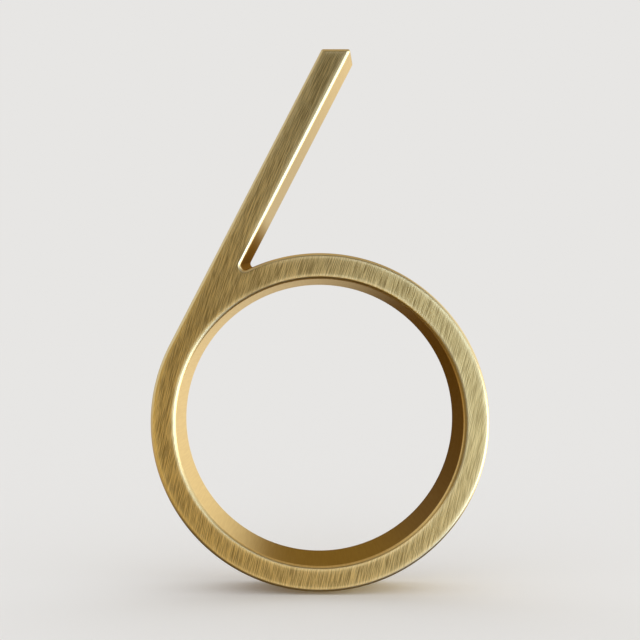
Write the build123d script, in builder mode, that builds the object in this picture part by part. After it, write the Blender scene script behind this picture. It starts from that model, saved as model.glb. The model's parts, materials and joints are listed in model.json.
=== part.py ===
from build123d import *
import os
from math import cos, radians, sin, sqrt, tan

# House number: the figure six, one slim casting that is held to a wall by two studs.
# Millimetres. +X is to the right as the number is read, +Z is up and the face looks along -Y.
# The flat back lies on Y = 0, and the origin is on it, midway between the two stud holes.

# The figure, measured at its back, where the drafted casting is widest
number_height = 127.0  # bottom of the ring to the top of the stem
number_depth = 12.7  # back to face
ring_diameter = 79.8
ring_stroke = 7.4
stem_stroke = 7.6
stem_lean = 62.75  # degrees above the horizontal
draft_angle = 3.35  # degrees that every side leans in towards the face

# Rounded and broken edges
face_edge_radius = 0.75
stem_corner_radius = 0.6  # the two corners of the stem's level end
crotch_radius = 1.0  # where the stem's inner side meets the ring
back_edge_break = 0.25

# Stud holes: blind and threaded, each taken at its thread's outside diameter
thread_diameter = 4.0
mouth_diameter = 4.7
mouth_angle = 90.0
drill_point_angle = 118.0
front_wall = 2.5  # metal left between a drill point and the face
hole_end_margin = 9.29  # from the stem's level end to the upper hole, along the stem

# The figure is drawn in its own plane, with the ring's centre at 0, 0 and the points as (X, Z).
ring_radius = ring_diameter / 2
stem_top = number_height - ring_radius
stem_inner_offset = ring_radius - stem_stroke
stem_middle_offset = ring_radius - stem_stroke / 2
stem_along = Vector(cos(radians(stem_lean)), sin(radians(stem_lean)))
stem_across = Vector(-stem_along.Y, stem_along.X)


def stem_point(offset, run):
    """A point on the stem: offset from the ring's centre across it, then run along it."""
    return stem_across * offset + stem_along * run


def stem_end(offset):
    """Where the line along the stem at this offset reaches the level end."""
    foot = stem_point(offset, 0)
    return foot + stem_along * ((stem_top - foot.Y) / stem_along.Y)


stem_tangent = stem_point(ring_radius, 0)
crotch = stem_point(stem_inner_offset, sqrt(ring_radius**2 - stem_inner_offset**2))
ring_bottom = Vector(0, -ring_radius)

# The upper hole is in the middle of the stem, and the lower one is plumb below it,
# in the middle of the ring's stroke.
upper_hole = stem_end(stem_middle_offset) - stem_along * hole_end_margin
lower_hole = Vector(upper_hole.X, -sqrt((ring_radius - ring_stroke / 2) ** 2 - upper_hole.X**2))
hole_spacing = upper_hole.Y - lower_hole.Y
hole_middle = (upper_hole + lower_hole) / 2
drill_point_length = thread_diameter / 2 / tan(radians(drill_point_angle / 2))
hole_depth = number_depth - front_wall - drill_point_length

# Both planes are at the back: one looks out of the face, the other out of the back.
figure_plane = Plane(origin=(-hole_middle.X, 0, -hole_middle.Y), x_dir=(1, 0, 0), z_dir=(0, -1, 0))
back_plane = Plane(origin=(0, 0, 0), x_dir=(-1, 0, 0), z_dir=(0, 1, 0))


def depth_edges():
    """The edges that run from the back to the face."""
    return number_six.edges().filter_by_position(Axis.Y, -number_depth, 0, inclusive=(False, False))


with BuildPart() as number_six:
    # The stem's outer side runs into the ring as its tangent, and its inner side stops at the crotch.
    with BuildSketch(figure_plane):
        with BuildLine():
            Line(stem_tangent, stem_end(ring_radius))
            Line(stem_end(ring_radius), stem_end(stem_inner_offset))
            Line(stem_end(stem_inner_offset), crotch)
            ThreePointArc(crotch, ring_bottom, stem_tangent)
        make_face()
        Circle(ring_radius - ring_stroke, mode=Mode.SUBTRACT)
    extrude(amount=number_depth)

    # Draft on every side, so that the walls show from the front
    sides = number_six.faces().filter_by(Axis.Y, reverse=True)
    draft(sides, figure_plane, draft_angle)

    # Rounding: the crotch and the stem's end corners, then the face's outline. The back's is broken.
    crotch_middle = figure_plane.from_local_coords((crotch.X, crotch.Y, number_depth / 2))
    fillet(depth_edges().sort_by_distance(crotch_middle)[0], crotch_radius)
    fillet(depth_edges().group_by(Axis.Z)[-1], stem_corner_radius)
    fillet(number_six.faces().sort_by(Axis.Y)[0].edges(), face_edge_radius)
    chamfer(number_six.faces().sort_by(Axis.Y)[-1].edges(), back_edge_break)

    # Stud holes, drilled from the back, each with a broken mouth and a drill point
    with Locations(back_plane):
        with GridLocations(0, hole_spacing, 1, 2):
            CounterSinkHole(
                radius=thread_diameter / 2,
                counter_sink_radius=mouth_diameter / 2,
                depth=hole_depth,
                counter_sink_angle=mouth_angle,
            )
            with Locations((0, 0, -hole_depth)):
                Cone(
                    bottom_radius=0,
                    top_radius=thread_diameter / 2,
                    height=drill_point_length,
                    align=(Align.CENTER, Align.CENTER, Align.MAX),
                    mode=Mode.SUBTRACT,
                )

number_six.part.label = "number_six"

os.makedirs("parts", exist_ok=True)
export_step(number_six.part, "parts/number_six.step")
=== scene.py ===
import json
from math import atan2, cos, pi, radians, sin, sqrt, tan

import bmesh
import bpy
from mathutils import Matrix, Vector
from mathutils.geometry import tessellate_polygon


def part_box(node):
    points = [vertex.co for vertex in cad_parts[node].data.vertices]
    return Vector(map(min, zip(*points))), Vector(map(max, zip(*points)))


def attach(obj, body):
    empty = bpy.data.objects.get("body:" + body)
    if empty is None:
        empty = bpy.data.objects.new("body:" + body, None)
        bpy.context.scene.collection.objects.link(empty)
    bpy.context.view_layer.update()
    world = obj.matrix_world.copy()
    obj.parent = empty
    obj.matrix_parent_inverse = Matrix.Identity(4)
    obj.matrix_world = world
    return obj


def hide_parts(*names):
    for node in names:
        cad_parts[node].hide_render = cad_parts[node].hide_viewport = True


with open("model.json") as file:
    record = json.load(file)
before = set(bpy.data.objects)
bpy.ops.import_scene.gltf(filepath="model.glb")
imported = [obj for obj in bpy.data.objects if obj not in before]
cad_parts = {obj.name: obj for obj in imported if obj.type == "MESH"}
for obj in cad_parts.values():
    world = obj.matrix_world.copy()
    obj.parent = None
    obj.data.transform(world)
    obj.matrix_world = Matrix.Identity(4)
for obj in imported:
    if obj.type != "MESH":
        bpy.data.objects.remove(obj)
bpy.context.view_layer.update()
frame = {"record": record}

# House number, the figure six: one slim brass casting with a brushed antique face.
# The sizes are in millimetres, in the casting's own frame: +X to the right, +Z up, the face along -Y.
MM = 0.001

# The casting's size and place, from the frame
low, high = (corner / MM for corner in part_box("number_six"))
stud_holes = next(m for m in frame["record"]["mounts"] if m["name"] == "stud_holes")
number_depth = high.y - low.y
hole_spacing = stud_holes["dims"]["spacing_y_mm"]
thread_radius = stud_holes["dims"]["hole_r_mm"]

# The casting's section, as it was cast
ring_stroke = 7.4
stem_stroke = 7.6
stem_lean = radians(62.75)
draft = radians(3.35)
face_round = 0.75
end_corner_round = 0.6
crotch_round = 1.0
back_break = 0.25

# Stud holes: thread, mouth and drill point
thread_pitch = 0.7
thread_depth = 0.379  # five eighths of the sharp V's height
thread_crest = 1 / 4  # the flat on the thread's ridge, as a share of the pitch
thread_root = 1 / 8  # the flat in its groove
mouth_radius = 2.35
front_wall = 2.5
drill_half_angle = radians(59)
drill_point = thread_radius / tan(drill_half_angle)
drill_tip = number_depth - front_wall
hole_depth = drill_tip - drill_point

# The broken back edge takes this much off the widest line of each side.
lost_at_back = back_break * sin(draft)
ring_radius = (high.x - low.x) / 2 + lost_at_back
ring_x = (low.x + high.x) / 2
ring_z = low.z - lost_at_back + ring_radius
stem_top = high.z + lost_at_back - ring_z
stem_along = Vector((cos(stem_lean), sin(stem_lean)))
stem_across = Vector((-sin(stem_lean), cos(stem_lean)))

# How far the draft, and then the face's rounding, have drawn the outline in
side_end = number_depth - face_round * (1 - sin(draft))
drawn_in_at_side_end = side_end * tan(draft)
drawn_in_at_face = (number_depth - face_round) * tan(draft) + face_round / cos(draft)

# How finely the mesh follows its roundings, in steps
ring_steps = 320
crotch_steps = 20
outer_corner_steps = 8
inner_corner_steps = 14
edge_steps = 12
hole_steps = 40
rows_per_pitch = 12
least_corner = 0.02  # the end corners never close to a point

# Brass colours: the brushed face, its rubbed edges, the sides, the sanded back and the cut holes
stroke_dark = (0.305, 0.21, 0.067, 1)
stroke_bright = (0.755, 0.555, 0.207, 1)
rubbed_dark = (0.80, 0.61, 0.25, 1)
rubbed_bright = (1.0, 0.80, 0.38, 1)
satin_dark = (0.82, 0.60, 0.255, 1)
satin_bright = (0.87, 0.65, 0.285, 1)
edge_pale = (0.88, 0.72, 0.40, 1)
sanded_dark = (0.56, 0.405, 0.18, 1)
sanded_bright = (0.72, 0.53, 0.25, 1)
cut_brass = (0.88, 0.70, 0.36, 1)
grazing_tint = (1.0, 0.91, 0.70, 1)

# Colours of the patina, of the darker patch round the stem's foot and of painted shade
# Patina film, also painted shade on the opening's lower right wall
film_and_shade_brown = (0.30, 0.215, 0.085, 1)
# Painted shade: the outer sides darken towards the crotch
near_crotch_shade_brown = (0.36, 0.26, 0.11, 1)
foot_brown = (0.12, 0.09, 0.03, 1)
# Painted shade: a dark brown in the crotch
crotch_shade_brown = (0.30, 0.145, 0.02, 1)

# Shares of the wear, the patina, the darker patch and the painted shade where they are fullest
broad_wear = 0.22
narrow_wear = 0.65
wear_lost_at_film_and_shade_patch = 0.8
wear_lost_at_right = 0.5
left_edge_pale = 0.5
film_share = 0.55
# The patch at the opening's lower right: film on its rounding, painted shade on its wall
film_and_shade_patch_share = 0.4
# Painted shade on the outer sides towards the crotch
near_crotch_shade_share = 0.6
foot_share = 0.16
crotch_shade_cover = 0.95  # how much of the metal the crotch's painted shade hides

# Places of the patina and of the darker patch, from the ring's centre: the film lies on this side of the
# opening, and the face is darker round the stem's foot.
film_turn = radians(60)
stem_foot = Vector((-30.0, 22.0))

# Brushing: how far the strokes stray sideways, how much they bend up the stem, and how high they stand.
# Hairlines lie over them, and the right side is smoother, nearer to one brightness.
# The face's margin rolls over towards its edges, most on the left.
stroke_wander = 0.7
stroke_bend = 0.0016  # for each square millimetre of height
stroke_height = 0.0035
stem_line_share = 0.25
hairline_share = 0.8
smooth_brightness = 0.64
smooth_share = 0.35
margin_width = 0.6
margin_roll = 0.01
left_margin_roll = 0.04

# Roughness of the satin sides, and what the other finishes and the crotch's painted shade add to it
satin_roughness = 0.30
edge_roughness = 0.03
face_roughness = 0.10
bright_stroke_roughness = -0.06
back_roughness = 0.24
cut_roughness = -0.02
# The crotch's painted shade is rough
crotch_shade_roughness = 0.5

# Camera, from the ring's centre on the face
camera_offset = Vector((-3.69, -204.3, 20.19))
lens_mm = 49.8
sensor_mm = 36.0
picture_px = 640
lens_axis_px = (304.1, 335.2)  # where the lens axis meets the picture, from its top left corner
nearest_seen_mm = 10.0

# The studio that the metal mirrors. Behind the number it is bright to the right and a little down, in front
# of it a cool light lies to the right and a little up, and a fill lies to the left and up.
key_dip = radians(25)
cool_lift = radians(22)
fill_lift = radians(40)
key_white = (1.0, 0.99, 0.99, 1)
shade_brown = (0.082, 0.040, 0.004, 1)
high_glow = (0.180, 0.120, 0.024, 1)
left_glow = (0.42, 0.27, 0.10, 1)
warm_front = (0.65, 0.497, 0.24, 1)
cool_light = (1.70, 2.48, 4.4, 1)
right_grey = (0.74, 0.76, 0.74, 1)
overhead_dark = (0.05, 0.04, 0.03, 1)
fill_grey = (0.70, 0.70, 0.68, 1)
ceiling_tan = (0.48, 0.40, 0.27, 1)
ground_brown = (0.08, 0.055, 0.03, 1)
room_white = (1.0, 1.0, 1.0, 1)
room_pale = (0.80, 0.79, 0.775, 1)
floor_half_width = 6.0  # metres
floor_roughness = 0.7


class Wire:
    """A shader socket that Python's operators work on. Each expression adds its Math nodes."""

    def __init__(self, finish, socket):
        self.finish = finish
        self.socket = socket

    def math(self, operation, *values):
        return self.finish.math(operation, self, *values)

    def __add__(self, other):
        return self.math("ADD", other)

    def __radd__(self, other):
        return self.math("ADD", other)

    def __sub__(self, other):
        return self.math("SUBTRACT", other)

    def __rsub__(self, other):
        return self.finish.math("SUBTRACT", other, self)

    def __mul__(self, other):
        return self.math("MULTIPLY", other)

    def __rmul__(self, other):
        return self.math("MULTIPLY", other)

    def __truediv__(self, other):
        return self.math("DIVIDE", other)

    def __neg__(self):
        return self.math("MULTIPLY", -1)

    def __abs__(self):
        return self.math("ABSOLUTE")


class Finish:
    """A material, or the studio round the number, as its nodes are wired up."""

    def __init__(self, owner):
        owner.use_nodes = True
        self.tree = owner.node_tree
        self.tree.nodes.clear()

    def node(self, kind, settings, sockets, out=0):
        """Adds a node: its settings first, then a value or a wire on each socket. Gives one output."""
        made = self.tree.nodes.new(kind)
        for name, value in settings.items():
            setattr(made, name, value)
        for name, value in sockets.items():
            if isinstance(value, Wire):
                self.tree.links.new(value.socket, made.inputs[name])
            else:
                made.inputs[name].default_value = value
        return Wire(self, made.outputs[out]) if made.outputs else made

    def math(self, operation, *values):
        return self.node("ShaderNodeMath", {"operation": operation}, dict(enumerate(values)))

    def least(self, first, *others):
        for other in others:
            first = self.math("MINIMUM", first, other)
        return first

    def most(self, first, second):
        return self.math("MAXIMUM", first, second)

    def length(self, a, b):
        return self.math("SQRT", a * a + b * b)

    def step(self, value, start, end):
        """0 where the value is at start, 1 at end, and smooth between."""
        settings = {"interpolation_type": "SMOOTHSTEP"}
        sockets = {"Value": value, "From Min": start, "From Max": end}
        return self.node("ShaderNodeMapRange", settings, sockets)

    def blend(self, share, first, second):
        """Two colours, mixed by the share of the second."""
        sockets = {0: share, 6: first, 7: second}
        return self.node("ShaderNodeMix", {"data_type": "RGBA"}, sockets, out=2)

    def noise(self, x, y, z, detail=2.0):
        place = self.node("ShaderNodeCombineXYZ", {}, {"X": x, "Y": y, "Z": z})
        sockets = {"Vector": place, "Scale": 1.0, "Detail": detail, "Roughness": 0.5}
        return self.node("ShaderNodeTexNoise", {"noise_dimensions": "3D"}, sockets)

    def axes(self, coordinates):
        """The three numbers of one of the Texture Coordinate node's outputs."""
        vector = self.node("ShaderNodeTexCoord", {}, {}, out=coordinates)
        return [self.node("ShaderNodeSeparateXYZ", {}, {0: vector}, out=axis) for axis in "XYZ"]


def arc(centre, radius, start, end, steps, faces_out=1):
    """Points along an arc, each with the direction that the metal faces there."""
    turns = [start + (end - start) * n / steps for n in range(steps + 1)]
    spokes = [Vector((cos(turn), sin(turn))) for turn in turns]
    return [(centre + spoke * radius, spoke * faces_out) for spoke in spokes]


def stem_point(offset, height):
    """Where the line along the stem, this far across from the ring's centre, reaches a height."""
    foot = stem_across * offset
    return foot + stem_along * ((height - foot.y) / stem_along.y)


def crotch_middle(drawn_in):
    """The middle of the crotch's rounding, from the ring's centre across and along the stem."""
    across = ring_radius - stem_stroke + drawn_in - crotch_round
    return across, sqrt((ring_radius - drawn_in + crotch_round) ** 2 - across**2)


def outer_line(drawn_in, rounded=0.0):
    """The figure's outer line in the ring's plane, drawn in by the draft and then by an edge's rounding."""
    radius = ring_radius - drawn_in
    corner = max(end_corner_round - rounded, least_corner)
    inset = drawn_in + rounded + corner
    outer_corner = stem_point(ring_radius - inset, stem_top - inset)
    inner_corner = stem_point(ring_radius - stem_stroke + inset, stem_top - inset)
    crotch_across, crotch_along = crotch_middle(drawn_in)
    crotch = stem_across * crotch_across + stem_along * crotch_along
    crotch_turn = atan2(crotch.y, crotch.x)
    left, up, right = stem_lean + pi / 2, pi / 2, stem_lean - pi / 2
    return [
        *arc(outer_corner, corner, left, up, outer_corner_steps),
        *arc(inner_corner, corner, up, right, inner_corner_steps),
        *arc(crotch, crotch_round + rounded, right + pi, crotch_turn + pi, crotch_steps, -1),
        *arc(Vector((0, 0)), radius - rounded, crotch_turn, left - 2 * pi, ring_steps)[1:],
    ]


def inner_line(drawn_in, rounded=0.0):
    """The ring's opening, at the same depth."""
    radius = ring_radius - ring_stroke + drawn_in + rounded
    return arc(Vector((0, 0)), radius, 0, 2 * pi, ring_steps, -1)[:-1]


class Casting:
    """Collects the casting's corners and faces, with the way the metal faces at each face's corners."""

    def __init__(self):
        self.corners = []
        self.faces = []
        self.facing = []

    def loop(self, line, depth):
        """Adds a line's points at a depth from the back and gives their numbers."""
        first = len(self.corners)
        self.corners += [((ring_x + p.x) * MM, -depth * MM, (ring_z + p.y) * MM) for p, _ in line]
        return list(range(first, len(self.corners)))

    def band(self, lower, upper, lower_facing, upper_facing):
        """Joins two loops that have as many points by a strip of faces."""
        count = len(lower)
        for n in range(count):
            m = (n + 1) % count
            self.faces.append((lower[n], upper[n], upper[m], lower[m]))
            self.facing += [lower_facing[n], upper_facing[n], upper_facing[m], lower_facing[m]]

    def cap(self, loops, facing):
        """Fills the flat between loops: the first is the outside, and the others are openings in it."""
        numbers = [n for loop in loops for n in loop]
        flat = [[Vector((self.corners[n][0], self.corners[n][2], 0)) / MM for n in loop] for loop in loops]
        for triangle in tessellate_polygon(flat):
            a, b, c = (Vector(self.corners[numbers[n]]) for n in triangle)
            if (b - a).cross(c - a).dot(facing) < 0:
                triangle = triangle[::-1]
            self.faces.append(tuple(numbers[n] for n in triangle))
            self.facing += [facing] * 3


def tilted(line, rise):
    """The facing of a line's points when the metal there is turned towards the face by the angle rise."""
    return [Vector((out.x * cos(rise), -sin(rise), out.y * cos(rise))) for _, out in line]


def sides(casting, line):
    """One side of the casting from the back to the face: a broken edge, the drafted wall and a rounding."""
    broken = pi / 4 - draft / 2
    back = line(0, back_break)
    wall_start = line(lost_at_back)
    wall_end = line(drawn_in_at_side_end)
    back_loop = casting.loop(back, 0)
    below = casting.loop(wall_start, back_break * cos(draft))
    casting.band(back_loop, below, tilted(back, -broken), tilted(wall_start, -broken))
    above = casting.loop(wall_end, side_end)
    casting.band(below, above, tilted(wall_start, draft), tilted(wall_end, draft))
    below, below_facing = above, tilted(wall_end, draft)
    for n in range(1, edge_steps + 1):
        rise = draft + (pi / 2 - draft) * n / edge_steps
        rounded = drawn_in_at_face - face_round * cos(rise) - drawn_in_at_side_end
        edge = line(drawn_in_at_side_end, rounded)
        above = casting.loop(edge, number_depth - face_round * (1 - sin(rise)))
        above_facing = tilted(edge, rise)
        casting.band(below, above, below_facing, above_facing)
        below, below_facing = above, above_facing
    return back_loop, above


def thread_ridge(turn, depth):
    """How far the thread stands in from its outside diameter. It runs out over the hole's last pitch."""
    from_ridge = abs((depth / thread_pitch - turn / (2 * pi)) % 1 - 0.5)
    flank_end = (1 - thread_root) / 2
    flank = flank_end - thread_crest / 2
    ridge = thread_depth * min(max((flank_end - from_ridge) / flank, 0), 1)
    return ridge * min(max((hole_depth - depth) / thread_pitch, 0), 1)


def hole_radius(turn, depth):
    """The stud hole's wall: a mouth broken at 45 degrees, then the thread."""
    return max(mouth_radius - depth, thread_radius - thread_ridge(turn, depth))


def hole_facing(turn, depth):
    """The way the hole's wall faces, from its slope a little before and behind."""
    reach = 0.02
    slope = (hole_radius(turn, depth + reach) - hole_radius(turn, max(depth - reach, 0))) / (2 * reach)
    return Vector((-cos(turn), -slope, -sin(turn))).normalized()


def stud_hole(casting, height):
    """A blind threaded hole with a drill point. Gives the loop of its mouth."""
    rows = round(hole_depth / thread_pitch * rows_per_pitch)
    turns = [2 * pi * n / hole_steps for n in range(hole_steps)]
    spokes = [Vector((cos(turn), sin(turn))) for turn in turns]
    middle = Vector((-ring_x, height - ring_z))
    loops = []
    for row in range(rows + 1):
        depth = hole_depth * row / rows
        line = [(middle + s * hole_radius(t, depth), s) for t, s in zip(turns, spokes)]
        loops.append((casting.loop(line, depth), [hole_facing(t, depth) for t in turns]))
    for (lower, lower_facing), (upper, upper_facing) in zip(loops, loops[1:]):
        casting.band(lower, upper, lower_facing, upper_facing)
    tip = casting.loop([(middle, None)], drill_tip)[0]
    bottom = loops[-1][0]
    point_slope = thread_radius / drill_point
    point_facing = [Vector((-s.x, point_slope, -s.y)).normalized() for s in spokes]
    for n in range(hole_steps):
        m = (n + 1) % hole_steps
        casting.faces.append((bottom[n], tip, bottom[m]))
        casting.facing += [point_facing[n], Vector((0, 1, 0)), point_facing[m]]
    return loops[0][0]


def number_six():
    """The whole casting as one fine mesh."""
    casting = Casting()
    outer_back, outer_face = sides(casting, outer_line)
    inner_back, inner_face = sides(casting, inner_line)
    mouths = [stud_hole(casting, height) for height in (-hole_spacing / 2, hole_spacing / 2)]
    casting.cap([outer_face, inner_face], Vector((0, -1, 0)))
    casting.cap([outer_back, inner_back, *mouths], Vector((0, 1, 0)))
    mesh = bpy.data.meshes.new("brass_six")
    mesh.from_pydata(casting.corners, [], casting.faces)
    mesh.polygons.foreach_set("use_smooth", [True] * len(mesh.polygons))
    mesh.normals_split_custom_set(casting.facing)
    mesh.materials.append(antique_brass())
    piece = bpy.data.objects.new("brass_six", mesh)
    bpy.context.scene.collection.objects.link(piece)
    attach(piece, "root")
    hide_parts("number_six")


class Spot:
    """Where a point of the casting lies, in millimetres, and how far the metal there faces the front."""

    def __init__(self, brass):
        self.x, self.y, self.z = (axis / MM for axis in brass.axes("Object"))
        self.front = -brass.axes("Normal")[1]  # 1 on the face, near 0 on the sides and -1 on the back
        self.u = self.x - ring_x
        self.v = self.z - ring_z
        self.from_centre = brass.length(self.u, self.v)

        # How far it lies from the nearest edge of the face
        across = self.v * cos(stem_lean) - self.u * sin(stem_lean)
        along = self.u * cos(stem_lean) + self.v * sin(stem_lean)
        crotch_across, crotch_along = crotch_middle(drawn_in_at_side_end)
        self.from_crotch = brass.length(across - crotch_across, along - crotch_along)
        crotch_gap = self.from_crotch - (crotch_round + drawn_in_at_face - drawn_in_at_side_end)
        in_crotch = brass.math("LESS_THAN", along, crotch_along)
        in_crotch = in_crotch * brass.math("GREATER_THAN", across * crotch_along, along * crotch_across)
        inner_gap = across - (ring_radius - stem_stroke + drawn_in_at_face)
        stem_gap = brass.least(
            ring_radius - drawn_in_at_face - across,
            inner_gap + in_crotch * (crotch_gap - inner_gap),
            stem_top - drawn_in_at_face - self.v,
            along,
        )
        outer_gap = brass.most(ring_radius - drawn_in_at_face - self.from_centre, stem_gap)
        self.opening_gap = self.from_centre - (ring_radius - ring_stroke + drawn_in_at_face)
        self.gap = brass.least(outer_gap, self.opening_gap)


class WearAndShade:
    """How much of each finish, and of the painted shade, a point of the casting has."""

    def __init__(self, brass, spot):
        u, v, front = spot.u, spot.v, spot.front
        self.face = brass.step(front, 0.985, 0.999)
        self.edge = brass.step(front, 0.15, 0.4) * (1 - self.face)
        self.back = brass.step(-front, 0.9, 0.99)
        self.left = brass.step(u, -18.0, -30.0)
        self.outside = brass.step(spot.from_centre, ring_radius - 4.0, ring_radius - 2.0)

        # Painted shade: the outer sides darken near the stem, and are dark brown in the crotch. The face is
        # darker in a patch round the stem's foot.
        side = brass.step(abs(front), 0.35, 0.15) * self.outside
        self.near_crotch_shade = side * brass.step(spot.from_crotch, 66.0, 22.0)
        self.crotch = side * brass.step(spot.from_crotch, 13.0, 4.0)
        self.foot = brass.step(brass.length(u - stem_foot.x, v - stem_foot.y), 22.0, 6.0)

        # Dark film in the rounding of the opening, and a patch at its lower right: film on the rounding and
        # the face, painted shade on the wall
        at_opening = brass.step(spot.opening_gap, 0.6, 0.2)
        film_and_wall_shade = at_opening * brass.step(u * cos(film_turn) + v * sin(film_turn), -8.0, 16.0)
        self.film_and_shade_patch = at_opening * brass.step(u, 20.0, 32.0) * brass.step(v, -28.0, -8.0)
        film_and_wall_shade = brass.most(film_and_wall_shade, self.film_and_shade_patch) * brass.step(front, 0.66, 0.84) * film_share
        off_lip = brass.step(front, 0.14, 0.08) + brass.step(front, 0.42, 0.62)
        # Painted shade: the patch also darkens the opening's wall
        self.film_and_wall_shade = film_and_wall_shade + self.film_and_shade_patch * off_lip * film_and_shade_patch_share

        # Rubbed edges of the face: less at the patch at the opening's lower right and on the far right, and
        # none in the crotch
        worn = brass.step(spot.gap, 1.6, 0.3) * broad_wear + brass.step(spot.gap, 0.70, 0.10) * narrow_wear
        worn = worn * brass.step(spot.from_crotch, 3.0, 9.0) * (1 - self.film_and_shade_patch * wear_lost_at_film_and_shade_patch)
        self.worn = worn * (1 - brass.step(u, 33.0, 37.0) * wear_lost_at_right)

        # Threads and drill points are bare cut brass.
        from_hole = brass.length(spot.x, abs(spot.z) - hole_spacing / 2)
        in_hole = brass.step(from_hole, mouth_radius + 0.06, mouth_radius - 0.04)
        self.cut = in_hole * brass.step(spot.y, -drill_tip - 0.3, -drill_tip + 0.7)


def brush_strokes(brass, spot):
    """How bright the brushing is: straight strokes that lean to the right, more so up the stem."""
    wander = (brass.noise(spot.u * 0.03, spot.v * 0.03, 7.0) - 0.5) * stroke_wander
    height = brass.most(spot.v, 0.0)
    bend = height * height * stroke_bend

    def strokes(lean, length, width, seed):
        turn = radians(lean)
        run = spot.u * cos(turn) + spot.v * sin(turn)
        side = spot.v * cos(turn) - spot.u * sin(turn) + bend + wander
        return brass.noise(run / length, side / width, seed, detail=1.0)

    main = strokes(lean=78, length=6.0, width=0.20, seed=1.0)
    fine = strokes(lean=74, length=5.0, width=0.14, seed=2.0)
    second = strokes(lean=82, length=4.5, width=0.18, seed=3.0)
    crossing = strokes(lean=100, length=3.0, width=0.20, seed=4.0)
    bands = strokes(lean=77, length=20.0, width=1.3, seed=5.0)
    hairlines = strokes(lean=76, length=14.0, width=0.17, seed=6.0)
    stem_lines = strokes(lean=77, length=30.0, width=0.30, seed=8.0) - 0.5

    # The strokes' shares add up to 1. The long lines are only up the stem.
    brushing = main * 0.34 + fine * 0.24 + second * 0.24 + crossing * 0.09 + bands * 0.09
    brushing = brushing + stem_lines * brass.step(spot.v, 38.0, 50.0) * stem_line_share
    bright = brass.step(brushing, 0.425, 0.585) + brass.step(hairlines, 0.60, 0.70) * hairline_share
    return bright + (smooth_brightness - bright) * brass.step(spot.u, 18.0, 38.0) * smooth_share


def face_colour(brass, spot, wear_and_shade, bright):
    """Brushed brass, darker round the stem's foot, rubbed along its edges and with film at the opening's
    lower right.
    """
    brushed = brass.blend(bright, stroke_dark, stroke_bright)
    brushed = brass.blend(wear_and_shade.foot * foot_share, brushed, foot_brown)
    rubbed = brass.blend(bright, rubbed_dark, rubbed_bright)
    brushed = brass.blend(wear_and_shade.worn, brushed, rubbed)
    return brass.blend(wear_and_shade.film_and_shade_patch * brass.step(spot.opening_gap, 0.5, 0.1), brushed, film_and_shade_brown)


def side_colour(brass, spot, wear_and_shade):
    """Satin brass with faint lines through the depth, patina, painted shade near and in the crotch and on
    the opening's lower right wall, and pale roundings outside and on the left.
    """
    drawn = brass.noise(spot.x * 2.2, spot.y * 0.12, spot.z * 2.2, detail=1.0)
    satin = brass.blend(brass.step(drawn, 0.3, 0.7), satin_dark, satin_bright)
    # Painted shade: darker towards the crotch
    satin = brass.blend(wear_and_shade.near_crotch_shade * near_crotch_shade_share, satin, near_crotch_shade_brown)
    # Patina film, with painted shade on the opening's lower right wall
    satin = brass.blend(wear_and_shade.film_and_wall_shade, satin, film_and_shade_brown)
    pale = wear_and_shade.edge * brass.most(wear_and_shade.outside, wear_and_shade.left * left_edge_pale)
    satin = brass.blend(pale, satin, edge_pale)
    # Painted shade: dark brown in the crotch
    return brass.blend(wear_and_shade.crotch, satin, crotch_shade_brown)


def back_colour(brass, spot):
    """Brass sanded in level lines."""
    sanding = brass.step(brass.noise(spot.x * 0.12, spot.z * 4.0, 9.0), 0.35, 0.65)
    return brass.blend(sanding, sanded_dark, sanded_bright)


def antique_brass():
    """Brushed antique brass on the face, satin sides, a sanded back and cut holes, with painted shade near
    the crotch.
    """
    material = bpy.data.materials.new("antique_brass")
    brass = Finish(material)
    spot = Spot(brass)
    wear_and_shade = WearAndShade(brass, spot)
    bright = brush_strokes(brass, spot)
    colour = brass.blend(wear_and_shade.face, side_colour(brass, spot, wear_and_shade), face_colour(brass, spot, wear_and_shade, bright))
    colour = brass.blend(wear_and_shade.back, colour, back_colour(brass, spot))
    colour = brass.blend(wear_and_shade.cut, colour, cut_brass)

    roughness = satin_roughness + wear_and_shade.edge * edge_roughness
    roughness = roughness + wear_and_shade.face * (face_roughness + bright * bright_stroke_roughness)
    roughness = roughness + wear_and_shade.back * back_roughness + wear_and_shade.cut * cut_roughness
    # The crotch's painted shade is rough and hides the metal
    roughness = roughness + wear_and_shade.crotch * crotch_shade_roughness

    # Bump: the strokes on the face, and the margin that rolls over
    margin = 1.0 - brass.most(brass.least(spot.gap / margin_width, 1.0), -0.5)
    roll = margin_roll + wear_and_shade.left * left_margin_roll
    relief = bright * wear_and_shade.face * stroke_height
    relief = relief - margin * margin * brass.step(spot.front, -0.5, 0.0) * roll
    bump = brass.node("ShaderNodeBump", {}, {"Strength": 1.0, "Distance": MM, "Height": relief})
    sockets = {
        "Base Color": colour,
        "Metallic": 1 - wear_and_shade.crotch * crotch_shade_cover,
        "Roughness": roughness,
        "Specular IOR Level": 0.0,
        "Specular Tint": grazing_tint,
        "Normal": bump,
    }
    shader = brass.node("ShaderNodeBsdfPrincipled", {}, sockets)
    brass.node("ShaderNodeOutputMaterial", {}, {"Surface": shader})
    return material


def pale_floor():
    """A plain pale floor that the number stands on. The metal mirrors the studio instead of it."""
    material = bpy.data.materials.new("pale_floor")
    paint = Finish(material)
    sockets = {"Base Color": room_pale, "Roughness": floor_roughness, "Specular IOR Level": 0.0}
    shader = paint.node("ShaderNodeBsdfPrincipled", {}, sockets)
    paint.node("ShaderNodeOutputMaterial", {}, {"Surface": shader})
    mesh = bpy.data.meshes.new("floor")
    form = bmesh.new()
    bmesh.ops.create_grid(form, x_segments=1, y_segments=1, size=floor_half_width)
    form.to_mesh(mesh)
    form.free()
    mesh.materials.append(material)
    floor = bpy.data.objects.new("floor", mesh)
    floor.location.z = low.z * MM
    floor.visible_glossy = False
    floor.visible_shadow = False
    bpy.context.scene.collection.objects.link(floor)


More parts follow.
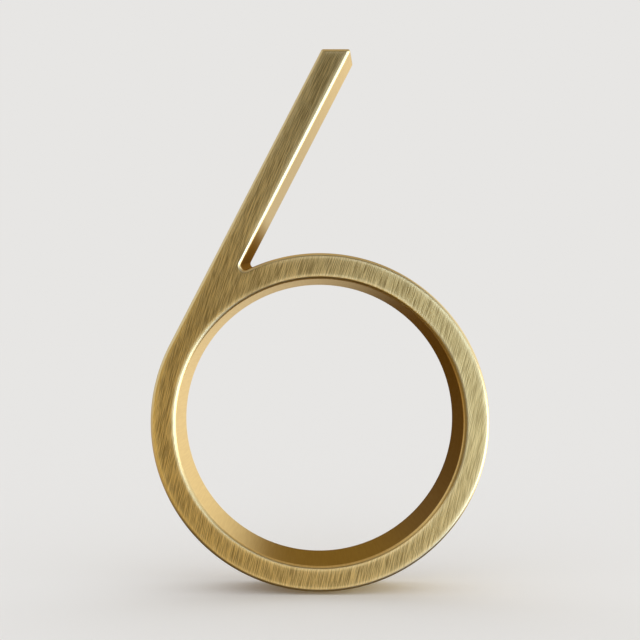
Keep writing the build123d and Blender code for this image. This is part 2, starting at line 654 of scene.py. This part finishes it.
def mirrored_room(room):
    """What the metal mirrors. The steps' borders are parts of a unit vector that points that way."""
    x, y, z = room.axes("Generated")

    # Behind the number: a bright right side, a faint glow above, and a warm glow on the far left
    right = x * cos(key_dip) - z * sin(key_dip)
    lit = room.step(right, 0.02, 0.16) * 0.7 + room.step(right, 0.12, 0.30) * 0.3
    shade = room.blend(room.step(x + z * 2, 0.17, 0.53), shade_brown, high_glow)
    behind = room.blend(lit, shade, key_white)
    behind = room.blend(room.step(x, -0.45, -0.75), behind, left_glow)

    # In front: warm, with the cool light and then grey to the right, and dark overhead
    cool = x * cos(cool_lift) + z * sin(cool_lift)
    in_cool_light = room.step(cool, 0.08, 0.25) * room.step(z, 0.32, 0.12)
    ahead = room.blend(in_cool_light, warm_front, cool_light)
    ahead = room.blend(room.step(cool, 0.32, 0.54), ahead, right_grey)
    overhead = room.step(z, -0.09, 0.38) * room.step(x, -0.75, -0.40) * room.step(x - z, 0.25, -0.05)
    ahead = room.blend(overhead, ahead, overhead_dark)

    # The fill, the ceiling and the ground go right round.
    mirrored = room.blend(room.step(-y, -0.2, 0.5), behind, ahead)
    fill = z * sin(fill_lift) - x * cos(fill_lift)
    mirrored = room.blend(room.step(fill, 0.50, 0.86), mirrored, fill_grey)
    mirrored = room.blend(room.step(z, 0.55, 0.85), mirrored, ceiling_tan)
    return room.blend(room.step(z, -0.33, -0.68), mirrored, ground_brown)


def studio():
    """Plain and pale round the floor, with soft white light. Only the metal mirrors a room."""
    world = bpy.data.worlds.new("studio")
    bpy.context.scene.world = world
    world.cycles.sampling_method = "NONE"
    room = Finish(world)
    seen = room.node("ShaderNodeLightPath", {}, {}, out="Is Camera Ray")
    glossy = room.node("ShaderNodeLightPath", {}, {}, out="Is Glossy Ray")
    colour = room.blend(seen, room_white, room_pale)
    colour = room.blend(glossy, colour, mirrored_room(room))
    shader = room.node("ShaderNodeBackground", {}, {"Color": colour, "Strength": 1.0})
    room.node("ShaderNodeOutputWorld", {}, {"Surface": shader})


def softbox(name, towards, distance, width, height, power, colour):
    """An area light in that direction from the ring, turned to it. Metres and watts. It lights no floor."""
    lamp = bpy.data.lights.new(name, "AREA")
    lamp.shape = "RECTANGLE"
    lamp.size = width
    lamp.size_y = height
    lamp.energy = power
    lamp.color = colour
    box = bpy.data.objects.new(name, lamp)
    direction = Vector(towards).normalized()
    box.location = Vector((ring_x, low.y, ring_z)) * MM + direction * distance
    box.rotation_euler = (-direction).to_track_quat("-Z", "Y").to_euler()
    box.visible_diffuse = False
    bpy.context.scene.collection.objects.link(box)


def camera():
    """A level camera in front of the face, with its picture shifted off the lens axis."""
    lens = bpy.data.cameras.new("camera")
    lens.sensor_width = sensor_mm
    lens.lens = lens_mm
    lens.shift_x = (picture_px / 2 - lens_axis_px[0]) / picture_px
    lens.shift_y = (lens_axis_px[1] - picture_px / 2) / picture_px
    lens.clip_start = nearest_seen_mm * MM
    view = bpy.data.objects.new("camera", lens)
    view.location = (Vector((ring_x, low.y, ring_z)) + camera_offset) * MM
    view.rotation_euler = (pi / 2, 0, 0)
    bpy.context.scene.collection.objects.link(view)
    bpy.context.scene.camera = view


number_six()
pale_floor()
studio()
softbox(
    "key_right",
    towards=(0.90, -0.375, -0.2),
    distance=0.9,
    width=1.1,
    height=0.5,
    power=4.2,
    colour=(0.97, 0.98, 1.0),
)
camera()

bpy.context.scene.view_settings.view_transform = "Standard"
